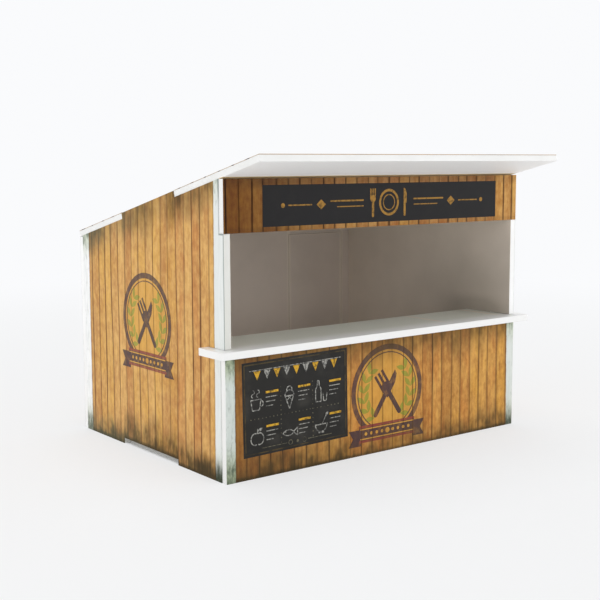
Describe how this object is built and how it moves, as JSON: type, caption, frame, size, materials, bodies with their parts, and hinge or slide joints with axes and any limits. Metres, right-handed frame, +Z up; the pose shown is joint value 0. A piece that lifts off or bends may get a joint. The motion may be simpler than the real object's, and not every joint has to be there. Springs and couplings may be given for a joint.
{
  "type": "scale model street kiosk",
  "caption": "Scale model of a street kiosk in slotted foam sheet: printed plank walls, open serving hatch with a counter shelf, sign fascia and a lean-to roof.",
  "frame": {"origin": "on the ground under the middle of the body, on the underside of the floor plate", "axes": "+Z up, the serving hatch faces -Y, +X to the right of someone facing the hatch"},
  "size_m": [0.1456, 0.1229, 0.1076],
  "materials": {
    "foam_sheet": "matt white rigid foam sheet",
    "wall_print": "satin film printed with weathered amber planks",
    "apron_print": "satin film printed with weathered brown planks",
    "fascia_print": "satin film printed with brown planks and a dark panel",
    "roof_print": "satin film printed with brown roof boards"
  },
  "bodies": {
    "root": {"floor_plate": "foam_sheet", "left_wall": "foam_sheet", "right_wall": "foam_sheet", "rear_wall": "foam_sheet", "rear_door": "foam_sheet", "front_apron": "foam_sheet", "sign_fascia": "foam_sheet", "counter_shelf": "foam_sheet", "roof_panel": "foam_sheet", "left_wall_print": "wall_print", "right_wall_print": "wall_print", "rear_wall_print": "wall_print", "rear_door_print": "wall_print", "front_apron_print": "apron_print", "sign_fascia_print": "fascia_print", "roof_print": "roof_print"}
  },
  "joints": []
}
